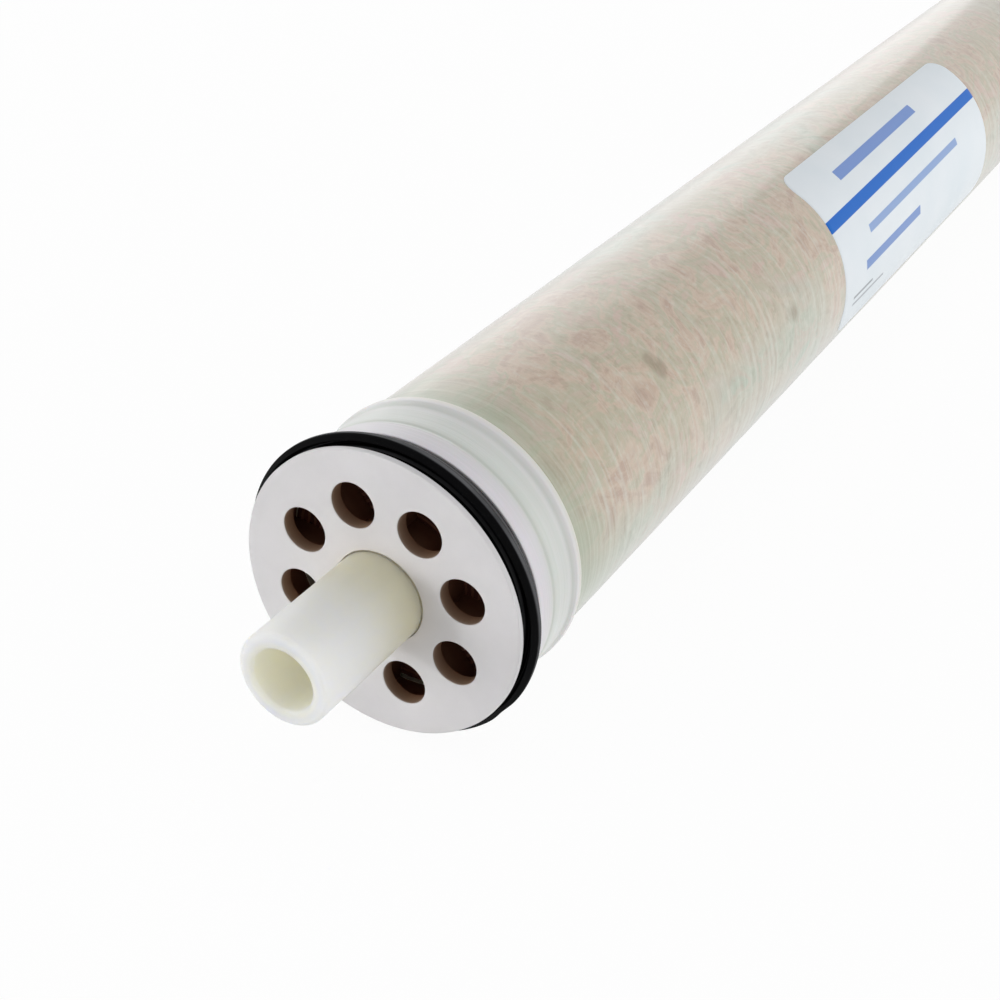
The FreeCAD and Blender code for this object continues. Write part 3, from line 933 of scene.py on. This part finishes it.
def dress(node, material):
    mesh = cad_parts[node].data
    mesh.materials.clear()
    mesh.materials.append(material)


for leaf in (1, 2):
    dress("membrane_envelope_%d" % leaf, MATERIALS["membrane"])
    dress("feed_spacer_%d" % leaf, MATERIALS["spacer"])
dress("leaf_tape_wrap", MATERIALS["tape"])


# ---------------------------------------------------------------- studio

scene = bpy.context.scene


def ray_mask(tree, names):
    """1 for any of the named kinds of ray."""
    path = tree.nodes.new("ShaderNodeLightPath")
    result = path.outputs[names[0]]
    for name in names[1:]:
        add = tree.nodes.new("ShaderNodeMath")
        add.operation = "MAXIMUM"
        tree.links.new(result, add.inputs[0])
        tree.links.new(path.outputs[name], add.inputs[1])
        result = add.outputs[0]
    return result


SEEN = ("Is Camera Ray", "Is Glossy Ray", "Is Transmission Ray")


def make_world():
    """Dim room for the light it gives, white where it is seen."""
    world = bpy.data.worlds.new("studio")
    world.use_nodes = True
    tree = world.node_tree
    room = tree.nodes["Background"]
    room.inputs["Color"].default_value = (0.97, 0.985, 1.0, 1.0)
    room.inputs["Strength"].default_value = 0.42
    white = tree.nodes.new("ShaderNodeBackground")
    white.inputs["Strength"].default_value = 1.0
    both = tree.nodes.new("ShaderNodeMixShader")
    tree.links.new(ray_mask(tree, SEEN), both.inputs[0])
    tree.links.new(room.outputs[0], both.inputs[1])
    tree.links.new(white.outputs[0], both.inputs[2])
    tree.links.new(both.outputs[0], tree.nodes["World Output"].inputs[0])
    scene.world = world


def make_floor():
    """White paper that glows where it is seen and still takes the object's shadow."""
    mesh = bpy.data.meshes.new("floor")
    half = 4.0
    level = -SEAL_CREST
    mesh.from_pydata(
        [(-half, -half, level), (half, -half, level), (half, half, level), (-half, half, level)],
        [], [(0, 1, 2, 3)],
    )
    floor = bpy.data.objects.new("floor", mesh)
    scene.collection.objects.link(floor)
    material = bpy.data.materials.new("floor_paper")
    material.use_nodes = True
    tree = material.node_tree
    paper = tree.nodes["Principled BSDF"]
    paper.inputs["Base Color"].default_value = (0.9, 0.9, 0.9, 1.0)
    paper.inputs["Roughness"].default_value = 0.9
    glow = tree.nodes.new("ShaderNodeEmission")
    amount = tree.nodes.new("ShaderNodeMath")
    amount.operation = "MULTIPLY"
    amount.inputs[1].default_value = 0.96
    tree.links.new(ray_mask(tree, SEEN), amount.inputs[0])
    both = tree.nodes.new("ShaderNodeMixShader")
    tree.links.new(amount.outputs[0], both.inputs[0])
    tree.links.new(paper.outputs[0], both.inputs[1])
    tree.links.new(glow.outputs[0], both.inputs[2])
    tree.links.new(both.outputs[0], tree.nodes["Material Output"].inputs[0])
    mesh.materials.append(material)


def softbox(name, place, target, size, power, mirrored=True):
    """Rectangular lamp; one that isn't mirrored gives light but no reflection."""
    light = bpy.data.lights.new(name, "AREA")
    light.shape = "RECTANGLE"
    light.size, light.size_y = size
    light.energy = power
    made = bpy.data.objects.new(name, light)
    made.location = place
    made.visible_glossy = mirrored
    made.rotation_euler = (Vector(target) - Vector(place)).to_track_quat("-Z", "Y").to_euler()
    scene.collection.objects.link(made)
    return light


# The camera looks down on the feed end from its right.
CAMERA_PLACE = Vector((0.1451, -0.4411, 0.1709))
CAMERA_RIGHT = Vector((0.86505, 0.50174, 0.0))
CAMERA_UP = Vector((-0.2580, 0.44474, 0.8577))
CAMERA_BACK = Vector((0.43034, -0.74193, 0.5142))


def make_camera():
    camera = bpy.data.cameras.new("camera")
    camera.lens = 58.0
    camera.sensor_width = 36.0
    camera.clip_start = 0.01
    made = bpy.data.objects.new("camera", camera)
    turn = Matrix((CAMERA_RIGHT, CAMERA_UP, CAMERA_BACK)).transposed().to_4x4()
    made.matrix_world = Matrix.Translation(CAMERA_PLACE) @ turn
    scene.collection.objects.link(made)
    scene.camera = made


scene.view_settings.view_transform = "Standard"
make_world()
make_floor()
softbox("back_left", (-0.95, 0.75, 0.35), (0, 0, 0), (1.9, 1.2), 5.0)
softbox("front_left", (-0.9, -0.95, 0.30), (0, -0.15, 0), (0.9, 0.8), 3.0, mirrored=False)
softbox("front_low", (-0.45, -1.25, 0.12), (0, -0.25, 0), (0.8, 0.6), 2.6, mirrored=False)
softbox("low_right", (0.95, 0.30, 0.12), (0, 0, 0), (1.5, 0.3), 5.5, mirrored=False)
softbox("top", (0.1, -0.1, 1.5), (0, 0, 0), (1.5, 1.5), 4.5, mirrored=False)
snoot = softbox("snoot", (-0.22, -1.05, 0.06), (0, TIP, 0), (0.10, 0.10), 0.006, mirrored=False)
snoot.spread = math.radians(12)
make_camera()
